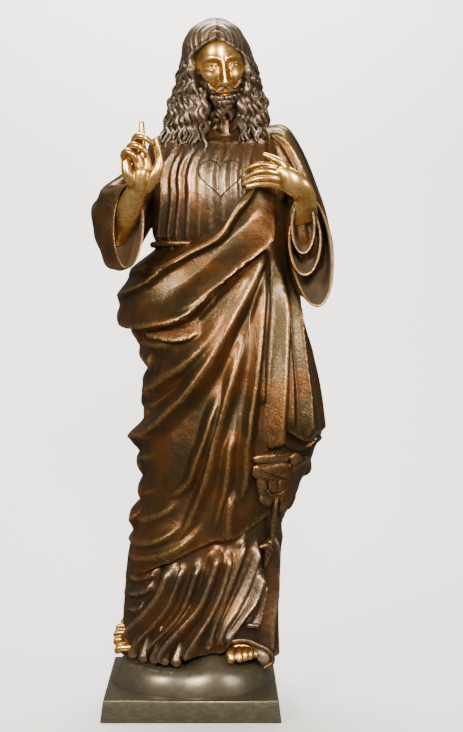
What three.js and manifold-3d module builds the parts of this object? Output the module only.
// A standing bronze figure of a robed, bearded man on a low plinth.
// Lengths are in millimetres, +Z is up and the figure faces -Y.
// The origin is the middle of the plinth's underside, and "left" and "right" are the viewer's.
import * as THREE from "three";
import { mergeVertices } from "three/addons/utils/BufferGeometryUtils.js";
import Module from "manifold-3d";

const wasm = await Module();
wasm.setup();

// Driving dimensions
const PLINTH = { width: 403, depth: 345, thickness: 48, draft: 0.03, chamfer: 2.5 };
const MOUND = { halfWidth: 190, halfDepth: 149, rise: 61, dome: 0.1, flank: 13 };
const CREST = { x: 46, y: -58, rise: 40, spreadX: 40, spreadY: 46 };
const SEAT_GAP = 0.3;
const RADIUS_FOR_FOLDS = 190;
const CORD_RADIUS = 6;
const SKULL = {
  at: { x: 63, y: -10, z: 1486 },
  half: { x: 64, y: 84, z: 100 },
  nod: 12,
  lean: -6,
  turn: 6,
};
const HAIR = { bottom: 1286, top: 1596, crownX: 54, columns: 22, rows: 12 };


// Maths
const rad = (degrees) => (degrees * Math.PI) / 180;
const clamp = (x, low, high) => Math.min(high, Math.max(low, x));
const step = (low, high, x) => {
  const t = clamp((x - low) / (high - low), 0, 1);
  return t * t * (3 - 2 * t);
};
const bell = (x, width) => Math.exp(-((x / width) ** 2));
const mix = (a, b, t) => a + (b - a) * t;

// A smooth curve through rows of numbers: each row is a key followed by the values there.
function track(rows) {
  return (key) => {
    const last = rows.length - 1;
    if (key <= rows[0][0]) return rows[0].slice(1);
    if (key >= rows[last][0]) return rows[last].slice(1);
    let i = 0;
    while (rows[i + 1][0] < key) i += 1;
    const before = rows[Math.max(0, i - 1)];
    const [a, b] = [rows[i], rows[i + 1]];
    const after = rows[Math.min(last, i + 2)];
    const span = b[0] - a[0];
    const t = (key - a[0]) / span;
    return a.slice(1).map((va, n) => {
      const vb = b[n + 1];
      const slopeA = ((vb - before[n + 1]) / (b[0] - before[0])) * span;
      const slopeB = ((after[n + 1] - va) / (after[0] - a[0])) * span;
      const t2 = t * t;
      const t3 = t2 * t;
      return (
        (2 * t3 - 3 * t2 + 1) * va +
        (t3 - 2 * t2 + t) * slopeA +
        (3 * t2 - 2 * t3) * vb +
        (t3 - t2) * slopeB
      );
    });
  };
}

// Solids
// A closed skin with a pole at each end: place(u, v) gives the point, u once round and v from pole to pole.
function skin(place, around, along) {
  const made = new THREE.SphereGeometry(1, around, along);
  const position = made.getAttribute("position");
  for (let row = 0; row <= along; row += 1) {
    for (let column = 0; column <= around; column += 1) {
      const point = place((column % around) / around, row / along);
      position.setXYZ(row * (around + 1) + column, ...point);
    }
  }
  return solid(made);
}

function solid(geometry) {
  geometry.deleteAttribute("normal");
  geometry.deleteAttribute("uv");
  const merged = mergeVertices(geometry, 1e-3);
  const vertProperties = merged.getAttribute("position").array;
  const triVerts = new Uint32Array(merged.index.array);
  const corners = [0, 1, 2].map(() => new THREE.Vector3());
  let volume = 0;
  for (let i = 0; i < triVerts.length; i += 3) {
    corners.forEach((c, n) => c.fromArray(vertProperties, triVerts[i + n] * 3));
    volume += corners[0].dot(corners[1].clone().cross(corners[2]));
  }
  if (volume < 0) {
    for (let i = 0; i < triVerts.length; i += 3) {
      [triVerts[i + 1], triVerts[i + 2]] = [triVerts[i + 2], triVerts[i + 1]];
    }
  }
  return new wasm.Manifold(new wasm.Mesh({ numProp: 3, vertProperties, triVerts }));
}

// A skin through stations, each [centre, half axis, other half axis]; an end is closed on its centre.
// shape(angle, share along) may add to the section's size.
function loft(stations, around, along, shape = () => 0) {
  const rows = stations.map((s, i) => [i, ...s[0], ...s[1], ...s[2]]);
  const at = track(rows);
  const last = stations.length - 1;
  return skin(
    (u, v) => {
      const share = clamp((v * along - 1) / (along - 2), 0, 1);
      const [cx, cy, cz, ax, ay, az, bx, by, bz] = at(share * last);
      const closed = v === 0 || v === 1;
      const angle = u * 2 * Math.PI;
      const size = closed ? 0 : 1 + shape(angle, share);
      const a = Math.cos(angle) * size;
      const b = Math.sin(angle) * size;
      return [cx + ax * a + bx * b, cy + ay * a + by * b, cz + az * a + bz * b];
    },
    around,
    along,
  );
}

// A round limb through points [x, y, z, radius], with domed ends.
function limb(points, around = 8, steps = 7) {
  const at = track(points.map((p, i) => [i, ...p]));
  const last = points.length - 1;
  const centre = (t) => new THREE.Vector3(...at(t * last).slice(0, 3));
  const seed = new THREE.Vector3(0.3, 1, 0.2);
  return skin(
    (u, v) => {
      const dome = 0.12;
      const share = clamp((v - dome) / (1 - 2 * dome), 0, 1);
      const past = v < dome ? 1 - v / dome : v > 1 - dome ? (v - 1 + dome) / dome : 0;
      const radius = at(share * last)[3];
      const ahead = centre(Math.min(1, share + 0.03));
      const behind = centre(Math.max(0, share - 0.03));
      const way = ahead.sub(behind).normalize();
      const side = seed.clone().cross(way).normalize();
      const up = way.clone().cross(side);
      const angle = u * 2 * Math.PI;
      const wide = radius * Math.sqrt(Math.max(0, 1 - past * past));
      const push = radius * past * (v < 0.5 ? -1 : 1);
      return centre(share)
        .addScaledVector(side, Math.cos(angle) * wide)
        .addScaledVector(up, Math.sin(angle) * wide)
        .addScaledVector(way, push)
        .toArray();
    },
    around,
    steps,
  );
}

const joined = (solids) => solids.reduce((all, one) => all.add(one));

// Drapery
// A body is a track of [height, left, right, front, back].
// On a body an angle of 0 is the front and 90 degrees the right side.
function bodyPoint(body, angle, z, out) {
  const [left, right, front, back] = body(z);
  const x = (left + right) / 2 + Math.sin(angle) * ((right - left) / 2 + out);
  const facing = Math.cos(angle);
  const y = (facing > 0 ? front - out : -(back + out)) * facing;
  return [x, y, z];
}

// The angle at which a body's front shows the point x; past the outline it goes on round the side.
function angleOf(body, x, z, behind) {
  const [left, right] = body(z);
  const t = (x - (left + right) / 2) / ((right - left) / 2);
  const turned = Math.abs(t) <= 1 ? Math.asin(t) : Math.sign(t) * (Math.PI / 2 + Math.abs(t) - 1);
  return behind ? Math.PI - turned : turned;
}

// How far forward a body reaches at a place seen from the front; beside the body there is nothing.
function frontOf(body, x, z) {
  const [left, right, front] = body(z);
  const t = (x - (left + right) / 2) / ((right - left) / 2);
  return front * Math.sqrt(Math.max(0, 1 - t * t));
}

// A limb laid on the front of bodies, through points [x, z, radius, lift off the surface].
function laid(bodies, points, around, steps) {
  const at = points.map(([x, z, radius, lift = 0]) => {
    const surface = Math.min(...bodies.map((body) => frontOf(body, x, z)));
    return [x, surface - lift, z, radius];
  });
  return limb(at, around, steps);
}

// A fold is a ridge along a line of [x, z] points; each side of it has its own width.
function foldLine(body, fold) {
  const at = track(fold.line.map((p, i) => [i, ...p]));
  const parts = 14;
  const points = [];
  for (let i = 0; i <= parts; i += 1) {
    const [x, z] = at((i / parts) * (fold.line.length - 1));
    points.push([angleOf(body, x, z, fold.behind) * RADIUS_FOR_FOLDS, z]);
  }
  return { ...fold, points };
}

function foldHeight(fold, s, z) {
  let nearest = Infinity;
  let share = 0;
  let side = 1;
  const { points } = fold;
  const turn = 2 * Math.PI * RADIUS_FOR_FOLDS;
  for (let i = 0; i + 1 < points.length; i += 1) {
    const [ax, az] = points[i];
    const dx = points[i + 1][0] - ax;
    const dz = points[i + 1][1] - az;
    let px = s - ax;
    px -= turn * Math.round(px / turn);
    const pz = z - az;
    const t = clamp((px * dx + pz * dz) / (dx * dx + dz * dz), 0, 1);
    const distance = Math.hypot(px - t * dx, pz - t * dz);
    if (distance < nearest) {
      nearest = distance;
      share = (i + t) / (points.length - 1);
      side = dx * pz - dz * px > 0 ? 0 : 1;
    }
  }
  const q = nearest / fold.widths[side];
  if (q >= 1) return 0;
  const ends = step(0, fold.fade[0], share) * step(0, fold.fade[1], 1 - share);
  return fold.height * ends * (0.5 + 0.5 * Math.cos(Math.PI * q)) ** 0.8;
}

const foldSum = (folds, s, z) => folds.reduce((sum, f) => sum + foldHeight(f, s, z), 0);
const fold = (height, widths, line, fade = [0.2, 0.2], behind = false) => ({
  height,
  widths,
  line,
  fade,
  behind,
});

// Folds spread evenly between a first and a last line.
function fan(count, height, widths, first, last, fade = [0.2, 0.2], behind = false) {
  return Array.from({ length: count }, (_, n) => {
    const t = n / (count - 1);
    const line = first.map((p, i) => [mix(p[0], last[i][0], t), mix(p[1], last[i][1], t)]);
    return fold(height * (0.75 + 0.25 * Math.cos(n * 2.4)), widths, line, fade, behind);
  });
}

// The robe, from the hem to the collar
const ROBE = track([
  [84, -158, 196, -112, 116],
  [130, -150, 192, -112, 116],
  [230, -142, 190, -110, 112],
  [340, -134, 192, -110, 112],
  [480, -104, 214, -108, 108],
  [650, -84, 230, -112, 108],
  [850, -100, 232, -112, 108],
  [960, -104, 226, -108, 104],
  [1052, -92, 214, -98, 96],
  [1080, -92, 216, -100, 96],
  [1180, -102, 232, -116, 104],
  [1250, -98, 240, -116, 100],
  [1290, -80, 232, -98, 86],
  [1318, -34, 190, -76, 66],
  [1338, 20, 138, -58, 48],
  [1350, 32, 124, -50, 42],
]);

const ROBE_FOLDS = [
  ...fan(9, 7, [11, 13], [[44, 1325], [8, 1260], [-52, 1170], [-62, 1070]],
    [[134, 1325], [150, 1260], [178, 1170], [188, 1070]], [0.25, 0.12]),
  fold(17, [15, 20], [[-34, 345], [-64, 270], [-90, 215], [-124, 170], [-156, 118]], [0.1, 0.05]),
  fold(14, [13, 15], [[-6, 350], [-34, 255], [-62, 205], [-112, 148], [-130, 112]], [0.1, 0.1]),
  fold(15, [13, 15], [[22, 370], [-12, 245], [-48, 185], [-88, 140], [-100, 108]], [0.1, 0.1]),
  fold(21, [19, 24], [[60, 385], [36, 270], [-4, 182], [-40, 135], [-52, 104]], [0.1, 0.05]),
  fold(16, [14, 16], [[104, 385], [78, 295], [50, 240], [16, 180], [-2, 120]], [0.1, 0.1]),
  fold(17, [14, 17], [[138, 405], [112, 310], [78, 240], [46, 185], [34, 120]], [0.1, 0.1]),
  fold(16, [14, 16], [[158, 345], [124, 255], [72, 196], [52, 120]], [0.1, 0.1]),
  fold(21, [19, 22], [[186, 380], [160, 275], [132, 196], [128, 150]], [0.1, 0.05]),
  fold(15, [13, 24], [[208, 420], [200, 280], [196, 180], [192, 110]], [0.1, 0.05]),
  fold(10, [11, 14], [[-96, 305], [-126, 280], [-170, 262]], [0.2, 0.05]),
  fold(10, [11, 14], [[-88, 270], [-122, 240], [-168, 220]], [0.2, 0.05]),
  ...fan(10, 13, [17, 22], [[-150, 400], [-165, 240], [-178, 100]], [[215, 420], [225, 240], [232, 100]],
    [0.1, 0.05], true),
];

// The mantle, wrapped round the hips and carried over the right shoulder
const MANTLE = track([
  [270, -150, 202, -128, 130],
  [386, -138, 204, -132, 134],
  [442, -122, 222, -134, 136],
  [500, -112, 244, -136, 137],
  [555, -110, 272, -140, 138],
  [611, -112, 296, -143, 140],
  [650, -104, 306, -144, 140],
  [743, -92, 292, -143, 138],
  [800, -102, 280, -141, 136],
  [875, -134, 266, -138, 132],
  [950, -160, 258, -132, 126],
  [1010, -142, 254, -124, 120],
  [1100, -116, 252, -118, 116],
  [1180, -114, 250, -126, 116],
  [1250, -110, 250, -126, 112],
  [1290, -90, 244, -108, 98],
  [1318, -40, 204, -86, 78],
  [1338, 20, 150, -66, 58],
]);

const STARTS_FULL = [0.02, 0.2];
const MANTLE_FOLDS = [
  fold(15, [24, 9], [[-210, 940], [-98, 968], [-6, 1014], [80, 1086], [136, 1168], [148, 1225]], STARTS_FULL),
  fold(27, [30, 15], [[-215, 870], [-60, 892], [30, 938], [108, 1020], [170, 1100], [208, 1150]], STARTS_FULL),
  fold(11, [14, 12], [[40, 1020], [108, 1080], [170, 1145]]),
  fold(15, [16, 10], [[-98, 854], [-36, 850], [42, 880]], [0.25, 0.4]),
  fold(10, [14, 12], [[-170, 835], [-120, 838], [-60, 862]], [0.05, 0.4]),
  fold(17, [20, 17], [[-150, 712], [-50, 745], [32, 824], [104, 936], [158, 1022]], [0.02, 0.25]),
  fold(26, [24, 18], [[-185, 620], [-66, 656], [-18, 694], [29, 777], [80, 868], [132, 988], [160, 1030]],
    [0.02, 0.2]),
  fold(20, [19, 16], [[-150, 452], [-84, 470], [-26, 512], [28, 612], [50, 672], [74, 754]], [0.02, 0.35]),
  fold(19, [15, 16], [[100, 478], [114, 544], [122, 612], [134, 706], [142, 790], [144, 868], [156, 960]],
    [0.1, 0.3]),
  fold(13, [15, 16], [[78, 470], [90, 570], [104, 710], [118, 800]], [0.1, 0.4]),
  fold(12, [9, 10], [[148, 610], [158, 706], [162, 870], [176, 1020]], [0.15, 0.3]),
  fold(19, [17, 17], [[206, 640], [194, 672], [196, 756], [197, 868], [190, 1040]], [0.06, 0.3]),
  fold(15, [13, 13], [[252, 690], [240, 800], [232, 946], [216, 1010]], [0.1, 0.3]),
  fold(17, [14, 30], [[300, 650], [282, 756], [262, 868], [250, 950]], [0.06, 0.3]),
  fold(14, [15, 15], [[-190, 408], [-140, 414], [-80, 425], [-10, 470], [40, 560]], [0.02, 0.3]),
  fold(12, [13, 15], [[-180, 365], [-130, 368], [-60, 385], [0, 440], [44, 530]], [0.02, 0.3]),
  fold(15, [17, 17], [[76, 395], [82, 450], [90, 520]], [0.05, 0.4]),
  fold(13, [13, 15], [[112, 420], [118, 470], [124, 540]], [0.05, 0.4]),
  fold(11, [17, 17], [[-190, 560], [-126, 556], [-64, 590]], [0.02, 0.5]),
  ...fan(7, 19, [22, 24], [[-190, 900], [-60, 960], [80, 1090], [170, 1240]],
    [[-170, 480], [0, 560], [150, 760], [250, 1050]], [0.05, 0.25], true),
  ...fan(5, 17, [22, 24], [[-165, 420], [-60, 480], [60, 600]], [[190, 330], [215, 500], [250, 760]],
    [0.05, 0.25], true),
];

// Where the mantle ends, by angle in degrees: its top edge and its hem
const MANTLE_TOP = track([
  [-180, 1225], [-150, 1120], [-120, 1015], [-95, 958], [-47, 978], [-16, 1026], [5, 1104], [17, 1180],
  [24, 1260], [32, 1322], [60, 1334], [120, 1334], [150, 1310], [165, 1280], [180, 1225],
]);
const MANTLE_HEM = track([
  [-180, 330], [-120, 292], [-90, 284], [-64, 300], [-37, 334], [-24, 350], [-6, 380], [8, 398], [18, 396],
  [28, 414], [42, 442], [60, 480], [90, 490], [120, 430], [150, 360], [180, 330],
]);

// The height of the robe's hem by angle in degrees, arched over the forward foot
const ROBE_HEM = track([
  [-180, 96], [-90, 84], [-46, 98], [-22, 118], [-10, 126], [10, 138], [17, 138],
  [24, 157], [35, 156], [46, 149], [56, 139], [72, 112], [90, 98], [180, 96],
]);

// Heights of the robe by share of its rows, few where the mantle covers it
const ROBE_ROWS = [[0, 84], [0.38, 400], [0.46, 1030], [0.6, 1085], [0.82, 1262], [0.93, 1325], [1, 1350]];

// The angle for a share of the way round; the front gets more of the facets
const frontAngle = (u) => {
  const s = 2 * u - 1;
  return Math.PI * s * (0.62 + 0.38 * s * s);
};

function robe(around, along) {
  const folds = ROBE_FOLDS.map((f) => foldLine(ROBE, f));
  const heights = track(ROBE_ROWS);
  return skin(
    (u, v) => {
      const share = clamp((v * along - 1) / (along - 2), 0, 1);
      const closed = v === 0 || v === 1;
      if (closed) return [75, -5, v === 0 ? 150 : 1350];
      const angle = frontAngle(u);
      const height = heights(share)[0];
      const hem = ROBE_HEM((angle * 180) / Math.PI)[0] - 84;
      const z = height + hem * step(400, 84, height);
      const belt = 8 * bell(z - 1062, 16);
      return bodyPoint(ROBE, angle, z, foldSum(folds, angle * RADIUS_FOR_FOLDS, z) - belt);
    },
    around,
    along,
  );
}

function mantle(around, along) {
  const folds = MANTLE_FOLDS.map((f) => foldLine(MANTLE, f));
  return skin(
    (u, v) => {
      const angle = frontAngle(u);
      const degrees = (angle * 180) / Math.PI;
      const low = MANTLE_HEM(degrees)[0];
      const high = MANTLE_TOP(degrees)[0];
      const row = Math.round(v * along);
      if (row === 0) return [60, 0, 420];
      if (row === along) return [75, 0, 1180];
      const share = clamp((row - 2) / (along - 4), 0, 1);
      const z = mix(low, high, share);
      const tucked = row === 1 || row === along - 1 ? -60 : 0;
      const rim = row === 2 || row === along - 2 ? -3 : 0;
      const out = tucked || foldSum(folds, angle * RADIUS_FOR_FOLDS, z) + rim;
      return bodyPoint(MANTLE, angle, z, out);
    },
    around,
    along,
  );
}

// The raised arm's bell sleeve, open at its mouth
function leftSleeve(around, along) {
  const outer = [
    [[-10, 5, 1262], [0, -58, 0], [-30, 0, 44]],
    [[-72, 6, 1240], [0, -60, 0], [-36, 0, 44]],
    [[-128, 2, 1180], [14, -54, 0], [-38, -4, 54]],
    [[-168, -22, 1124], [38, -38, 0], [-32, -10, 76]],
    [[-172, -78, 1098], [50, -14, 0], [-8, -8, 95]],
    [[-142, -132, 1101], [36, 0, 0], [2, 0, 95]],
  ];
  const inner = [
    [[-140, -138, 1101], [32, 0, 0], [2, 0, 91]],
    [[-142, -132, 1101], [29, 0, 0], [2, 0, 88]],
    [[-158, -92, 1102], [34, -4, 0], [0, 0, 76]],
    [[-166, -52, 1110], [24, -8, 0], [0, 0, 52]],
  ];
  return loft([...outer, ...inner], around, along, (angle, share) =>
    share < 0.5 ? 0.05 * Math.sin(angle * 5 + share * 6) * step(0.05, 0.3, share) : 0,
  );
}

// The bent arm's nested sleeves and the mantle that hangs from it
function cup(back, mouth, half, wall, around, along) {
  const [bx, by, bz] = back;
  const [mx, my, mz] = mouth;
  const [w, h] = half;
  const at = (t) => [mix(bx, mx, t), mix(by, my, t), mix(bz, mz, t)];
  return loft(
    [
      [at(0), [w * 0.7, 0, 0], [0, 0, h * 0.6]],
      [at(0.5), [w * 1.06, 0, 0], [0, 0, h * 0.94]],
      [at(0.94), [w, 0, 0], [0, 0, h]],
      [at(1), [w - wall / 2, 0, 0], [0, 0, h - wall / 2]],
      [at(0.94), [w - wall, 0, 0], [0, 0, h - wall]],
      [at(0.6), [w * 0.8, 0, 0], [0, 0, h * 0.78]],
      [at(0.35), [w * 0.45, 0, 0], [0, 0, h * 0.5]],
    ],
    around,
    along,
  );
}

function rightArmDrape() {
  const shoulder = loft(
    [
      [[120, 0, 1318], [0, -44, 0], [4, 0, 22]],
      [[165, 0, 1296], [0, -66, 0], [8, 0, 52]],
      [[200, 0, 1268], [4, -78, 0], [36, 0, 58]],
      [[222, -8, 1212], [16, -84, 0], [56, 4, 30]],
      [[240, -14, 1148], [18, -84, 0], [62, 6, 16]],
      [[256, -20, 1080], [14, -76, 0], [62, 8, 6]],
      [[262, -20, 1010], [10, -56, 0], [46, 6, 4]],
    ],
    12,
    9,
    (angle, share) => 0.05 * Math.sin(angle * 7 + 4 * share) * step(0.1, 0.35, share),
  );
  const hanging = cup([262, 10, 1070], [269, -112, 1052], [49, 122], 9, 14, 8);
  const middle = cup([262, -30, 1094], [256, -124, 1070], [39, 80], 8, 10, 7);
  const inner = cup([262, -40, 1110], [251, -138, 1102], [29, 63], 7, 10, 7);
  return [shoulder, hanging, middle, inner];
}

// The twisted cord round the waist and its hanging end with a knot
function cord() {
  const around = Array.from({ length: 9 }, (_, n) => {
    const [x, y] = bodyPoint(ROBE, rad(-12 - n * 24), 1066, 2);
    return [x, y, 1066 - 0.3 * n, CORD_RADIUS];
  });
  const hang = [[191, 500, 7, 55], [189, 460, 6, 46], [186, 420, 6, 24], [183, 384, 6, 14]];
  const tassel = [[182, 388, 7, 12], [176, 370, 12, 12], [172, 345, 9, 10], [168, 324, 5, 8]];
  const end = laid([ROBE], hang, 5, 5);
  const knot = laid([ROBE], tassel, 6, 5);
  const bar = laid([ROBE], [[158, 371, 6, 8], [173, 375, 7, 20], [189, 369, 6, 8]], 5, 4);
  return [limb(around, 5, 11), end, knot, bar];
}

// Rolls of gathered cloth below the bent arm
function gathered() {
  return [
    laid([MANTLE], [[144, 556, 15, 8], [172, 568, 21, 14], [206, 562, 20, 14], [236, 556, 14, 6]], 7, 6),
    laid([MANTLE], [[142, 516, 13, 4], [172, 526, 18, 12], [206, 522, 17, 12], [230, 518, 11, 4]], 7, 6),
    laid([MANTLE], [[152, 484, 9, 4], [172, 495, 15, 8], [196, 497, 10, 6]], 6, 5),
    laid([MANTLE], [[206, 634, 18, 6], [246, 606, 20, 16], [284, 634, 17, 12]], 7, 6),
  ];
}

// The raised hand: palm to the front, first finger up and the others curled in
function raisedHand() {
  const palm = loft(
    [
      [[-118, -152, 1150], [26, 0, 0], [0, -24, 0]],
      [[-112, -166, 1180], [24, 0, 2], [0, -19, 0]],
      [[-107, -178, 1202], [33, 0, 4], [0, -19, 0]],
      [[-107, -184, 1228], [42, 0, 6], [0, -17, 0]],
      [[-112, -184, 1252], [38, 0, 6], [0, -15, 0]],
      [[-116, -182, 1270], [26, 0, 8], [0, -12, 0]],
    ],
    9,
    7,
  );
  const index = limb([[-112, -180, 1256, 10], [-109, -182, 1290, 8.5], [-107, -184, 1326, 6.5]], 5, 5);
  const curls = [
    { x: -126, z: 1262, across: 45, rise: 31 },
    { x: -134, z: 1250, across: 40, rise: 25 },
    { x: -142, z: 1238, across: 25, rise: 21 },
  ];
  const curled = curls.map(({ x, z, across, rise }) =>
    limb(
      [
        [x, -180, z, 8],
        [x + 0.02 * across, -190, z + 0.72 * rise, 8],
        [x + 0.34 * across, -204, z + rise, 8],
        [x + 0.72 * across, -210, z + 0.74 * rise, 7],
        [x + across, -206, z + 0.45 * rise, 6],
      ],
      5,
      6,
    ),
  );
  const thumb = limb(
    [[-88, -176, 1200, 16], [-72, -186, 1222, 13], [-66, -194, 1240, 10], [-67, -198, 1264, 8], [-74, -200, 1285, 7]],
    5,
    6,
  );
  const arm = limb([[-170, -50, 1096, 34], [-140, -110, 1120, 32], [-118, -152, 1154, 25]], 8, 4);
  return [palm, index, thumb, arm, ...curled];
}

// The hand laid on the chest, its back to the front
function restingHand() {
  const back = loft(
    [
      [[182, -146, 1209], [0, -8, 10], [-4, -4, 20]],
      [[200, -158, 1207], [2, -11, 4], [-4, -2, 27]],
      [[222, -164, 1200], [2, -14, 3], [6, -2, 28]],
      [[242, -160, 1186], [6, -16, 6], [14, 0, 22]],
      [[254, -148, 1166], [10, -16, 8], [20, 2, 10]],
      [[258, -128, 1136], [16, -12, 10], [20, 6, 4]],
      [[262, -90, 1106], [16, -16, 10], [24, 6, 4]],
    ],
    9,
    8,
  );
  const fingers = [
    [[200, -152, 1228, 9], [176, -152, 1237, 8], [152, -148, 1239, 7.5], [126, -136, 1231, 6]],
    [[200, -156, 1216, 9], [172, -156, 1224, 8], [148, -148, 1222, 7.5], [120, -134, 1210, 6]],
    [[202, -156, 1203, 9], [176, -154, 1209, 8], [148, -146, 1207, 7.5], [121, -134, 1199, 6]],
    [[206, -152, 1190, 9], [180, -150, 1195, 7.5], [150, -144, 1195, 6.5], [127, -136, 1190, 5.5]],
  ];
  const thumb = [[222, -158, 1220, 13], [200, -158, 1242, 10], [184, -154, 1252, 8], [163, -148, 1262, 5.5]];
  return [back, ...[...fingers, thumb].map((points) => limb(points, 5, 5))];
}

// Feet below the hem
function feet() {
  const turnedOut = loft(
    [
      [[-60, 10, 150], [0, -30, 8], [0, 10, 34]],
      [[-110, -4, 154], [4, -26, 0], [-4, 8, 34]],
      [[-146, -16, 156], [6, -16, 0], [-8, 10, 34]],
      [[-158, -22, 156], [4, -9, 0], [-6, 8, 28]],
    ],
    9,
    6,
  );
  const toes = [
    [[-140, -8, 186, 7], [-156, -12, 187, 6.5], [-163, -12, 183, 5.5]],
    [[-142, -14, 172, 8], [-166, -18, 174, 7], [-174, -18, 169, 6]],
    [[-144, -20, 158, 8.5], [-172, -24, 160, 7.5], [-179, -24, 154, 6]],
    [[-144, -26, 144, 8.5], [-172, -30, 145, 8], [-178, -30, 139, 6.5]],
    [[-140, -32, 128, 10], [-166, -36, 128, 10], [-174, -36, 121, 8]],
  ];
  const forward = loft(
    [
      [[112, -20, 150], [34, 0, 0], [0, 6, 34]],
      [[112, -60, 142], [36, 0, 0], [0, 4, 26]],
      [[113, -84, 134], [34, 2, 0], [0, 4, 18]],
    ],
    9,
    5,
  );
  const forwardToes = [
    [[88, -70, 136, 12], [89, -100, 132, 11.5], [90, -110, 122, 9]],
    [[107, -72, 136, 9], [109, -98, 134, 8.5], [109, -108, 122, 7]],
    [[120, -72, 136, 8.5], [122, -94, 134, 8], [122, -102, 122, 6.5]],
    [[132, -68, 134, 8], [134, -88, 134, 7.5], [134, -96, 123, 6]],
    [[144, -62, 132, 8], [146, -80, 134, 7], [146, -88, 126, 6]],
  ];
  const webs = limb([[156, -60, 126, 20], [172, -78, 116, 22], [186, -70, 108, 18]], 8, 5);
  return [turnedOut, forward, webs, ...[...toes, ...forwardToes].map((points) => limb(points, 4, 4))];
}

// Head, in its own upright frame: the eyes are at height 0 and the face looks to -Y
function face(u, v) {
  const around = (u - 0.5) * 2;
  const azimuth = Math.PI * (0.45 * around + 0.55 * around ** 3);
  const lift = Math.PI * (v - 0.5);
  const flat = Math.cos(lift);
  const side = Math.sin(azimuth) * flat;
  const ahead = Math.cos(azimuth) * flat;
  const z = SKULL.half.z * Math.sin(lift);
  const jaw = 1 - 0.24 * step(10, 95, -z) - 0.06 * step(20, 95, z);
  const x = SKULL.half.x * side * jaw;
  const front = step(0, 0.5, ahead);
  const w = Math.abs(x);
  const spot = (cx, cz, rx, rz) => Math.exp(-(((w - cx) / rx) ** 2) - ((z - cz) / rz) ** 2);
  const nose = 20 * Math.exp(-((x / (7 + 0.1 * (8 - z))) ** 2)) * step(14, -34, z) * step(-47, -38, z);
  const features =
    nose +
    3.5 * spot(24, 15, 16, 6) -
    9 * spot(26, 0, 13, 9) +
    4.5 * spot(27, -1, 8, 6) +
    3 * spot(15, -38, 6, 6) +
    3 * spot(36, -26, 14, 14) +
    3.5 * spot(0, -58, 17, 4) -
    3 * spot(0, -63, 17, 2.5) +
    3.5 * spot(0, -69, 13, 4) +
    5 * spot(0, -88, 16, 10);
  const beard = step(-50, -62, z + 0.35 * w - 8) * step(26, 34, w) + step(-74, -80, z);
  const curls = clamp(beard, 0, 1) * (6 + 3 * Math.sin(z * 0.35 + w * 0.25) * Math.cos(w * 0.3));
  const whiskers = 5 * spot(14, -53, 14, 4);
  const facing = Math.cos(azimuth);
  const y = -SKULL.half.y * Math.sign(facing) * Math.abs(facing) ** 0.85 * flat ** (z < 0 ? 0.5 : 0.85);
  return [x * (1 + (0.08 * curls) / 6), y - front * (features + curls + whiskers), z];
}

function head() {
  const turn = new THREE.Euler(rad(SKULL.nod), rad(SKULL.lean), rad(SKULL.turn), "ZYX");
  const place = new THREE.Matrix4()
    .makeRotationFromEuler(turn)
    .setPosition(SKULL.at.x, SKULL.at.y, SKULL.at.z);
  const skull = skin((u, v) => new THREE.Vector3(...face(u, v)).applyMatrix4(place).toArray(), 18, 20);
  const neck = limb([[84, 12, 1290, 54], [80, 6, 1340, 46], [72, 0, 1400, 46], [66, 0, 1440, 40]], 10, 5);
  const beardTips = [-1, 1].map((s) =>
    limb(
      [[9 * s, -66, -84, 14], [8 * s, -70, -106, 11], [4 * s, -68, -126, 4]].map(([x, y, z, radius]) => [
        ...new THREE.Vector3(x, y, z).applyMatrix4(place).toArray(),
        radius,
      ]),
      6,
      5,
    ),
  );
  return [skull, neck, ...beardTips];
}

const HAIR_BODY = track([
  [1285, -84, 168, -14, 78],
  [1330, -76, 178, -30, 84],
  [1363, -66, 180, -36, 86],
  [1400, -54, 174, -44, 88],
  [1438, -40, 163, -60, 90],
  [1476, -32, 156, -84, 92],
  [1513, -26, 142, -94, 88],
  [1551, -17, 124, -88, 72],
  [1575, 0, 108, -66, 46],
  [1596, 34, 76, -24, 14],
]);
// Half the angle of the opening over the face, by height
const HAIR_OPENING = track([
  [1285, 40],
  [1360, 50],
  [1460, 52],
  [1500, 46],
  [1530, 28],
  [1548, 2],
  [1560, -10],
]);

// Hair: a smooth cap parted over the face, and wavy locks on the shoulders
function hair() {
  const strands = 15;
  const mass = skin(
    (u, v) => {
      const along = HAIR.rows;
      const share = clamp((v * along - 1) / (along - 2), 0, 1);
      const z = mix(HAIR.bottom, HAIR.top, 1 - (1 - share) ** 1.25);
      if (v === 0) return [66, 30, z + 20];
      if (v === 1) return [HAIR.crownX, -4, HAIR.top + 4];
      const angle = (u - 0.5) * 2 * Math.PI;
      const opening = rad(HAIR_OPENING(z)[0]);
      const inside = step(opening + rad(7), opening - rad(5), Math.abs(angle));
      const wave = Math.sin(angle * strands + 1.3 * Math.sin(z / 14));
      const ripple = 4 * wave * step(1500, 1420, z);
      return bodyPoint(HAIR_BODY, angle, z, ripple - 30 * inside);
    },
    HAIR.columns,
    HAIR.rows,
  );
  const lock = (x, z, lean, length) => {
    const points = Array.from({ length: 6 }, (_, n) => {
      const t = n / 5;
      const swing = 5 * Math.sin(n * 1.9 + x);
      return [x + lean * t + swing, z - length * t, mix(12, 5, t * t), 1 - 4 * t];
    });
    return laid([HAIR_BODY, ROBE], points, 5, 6);
  };
  const locks = [
    lock(-22, 1440, -26, 150),
    lock(-36, 1400, -34, 120),
    lock(-4, 1430, -6, 140),
    lock(8, 1400, 0, 110),
    lock(-50, 1370, -36, 90),
    lock(138, 1440, 6, 130),
    lock(124, 1410, 4, 100),
    lock(156, 1420, 8, 110),
    lock(164, 1390, 4, 80),
  ];
  return [mass, ...locks];
}

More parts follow.
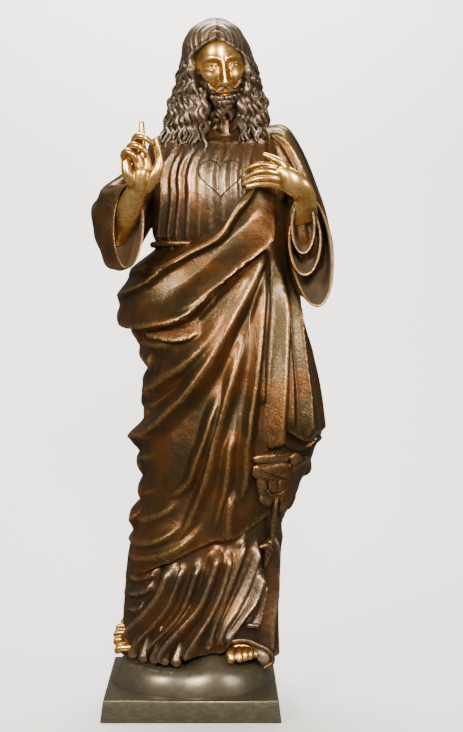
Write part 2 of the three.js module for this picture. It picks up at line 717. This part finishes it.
// Plinth: a square slab with a smooth mound that rises to a crest between the feet
function moundHeight(x, y) {
  const r = Math.hypot(x / MOUND.halfWidth, y / MOUND.halfDepth);
  const crest = CREST.rise * bell(x - CREST.x, CREST.spreadX) * bell(y - CREST.y, CREST.spreadY);
  const dome = MOUND.rise * (1 - MOUND.dome * r * r);
  return PLINTH.thickness + (dome + crest) * (1 - Math.min(1, r) ** MOUND.flank);
}

// The mound as a solid, swollen by a small clearance
function mound(swell) {
  const rows = 8;
  return skin(
    (u, v) => {
      const row = Math.round(v * (rows + 1));
      if (row === 0) return [0, 0, PLINTH.thickness - 20];
      const r = Math.sin((Math.PI / 2) * (1 - (row - 1) / rows));
      const angle = u * 2 * Math.PI;
      const x = (MOUND.halfWidth + swell) * r * Math.cos(angle);
      const y = (MOUND.halfDepth + swell) * r * Math.sin(angle);
      if (row === 1) return [x, y, PLINTH.thickness - 10];
      return [x, y, moundHeight(x * 0.999, y * 0.999) + swell * 1.2];
    },
    30,
    rows + 1,
  );
}

function slab() {
  const { width, depth, thickness, chamfer } = PLINTH;
  const outline = new THREE.Shape([
    new THREE.Vector2(-width / 2 + chamfer, -depth / 2 + chamfer),
    new THREE.Vector2(width / 2 - chamfer, -depth / 2 + chamfer),
    new THREE.Vector2(width / 2 - chamfer, depth / 2 - chamfer),
    new THREE.Vector2(-width / 2 + chamfer, depth / 2 - chamfer),
  ]);
  const made = new THREE.ExtrudeGeometry(outline, {
    depth: thickness - 2 * chamfer,
    bevelEnabled: true,
    bevelThickness: chamfer,
    bevelSize: chamfer,
    bevelSegments: 1,
  });
  made.translate(0, 0, chamfer);
  const position = made.getAttribute("position");
  for (let i = 0; i < position.count; i += 1) {
    const taper = 1 - (PLINTH.draft * position.getZ(i)) / thickness;
    position.setXY(i, position.getX(i) * taper, position.getY(i) * taper);
  }
  return solid(made);
}

// Assembly
function node(name, shape, color, roughness, metalness) {
  const { vertProperties, triVerts } = shape.getMesh();
  const geometry = new THREE.BufferGeometry();
  geometry.setAttribute("position", new THREE.BufferAttribute(new Float32Array(vertProperties), 3));
  geometry.setIndex(new THREE.BufferAttribute(new Uint32Array(triVerts), 1));
  geometry.computeVertexNormals();
  const material = new THREE.MeshStandardMaterial({ color, roughness, metalness });
  const mesh = new THREE.Mesh(geometry, material);
  mesh.name = name;
  return mesh;
}

const figure = joined([
  robe(40, 17),
  mantle(52, 23),
  ...cord(),
  ...gathered(),
  leftSleeve(14, 11),
  ...rightArmDrape(),
  ...raisedHand(),
  ...restingHand(),
  ...feet(),
  ...head(),
  ...hair(),
]).subtract(mound(SEAT_GAP));

const statue = new THREE.Group();
statue.name = "jesus_statue";
statue.add(node("figure", figure, "#6b4a28", 0.36, 0.9));
statue.add(node("plinth", slab().add(mound(0)), "#6f6653", 0.42, 0.75));

export default statue;
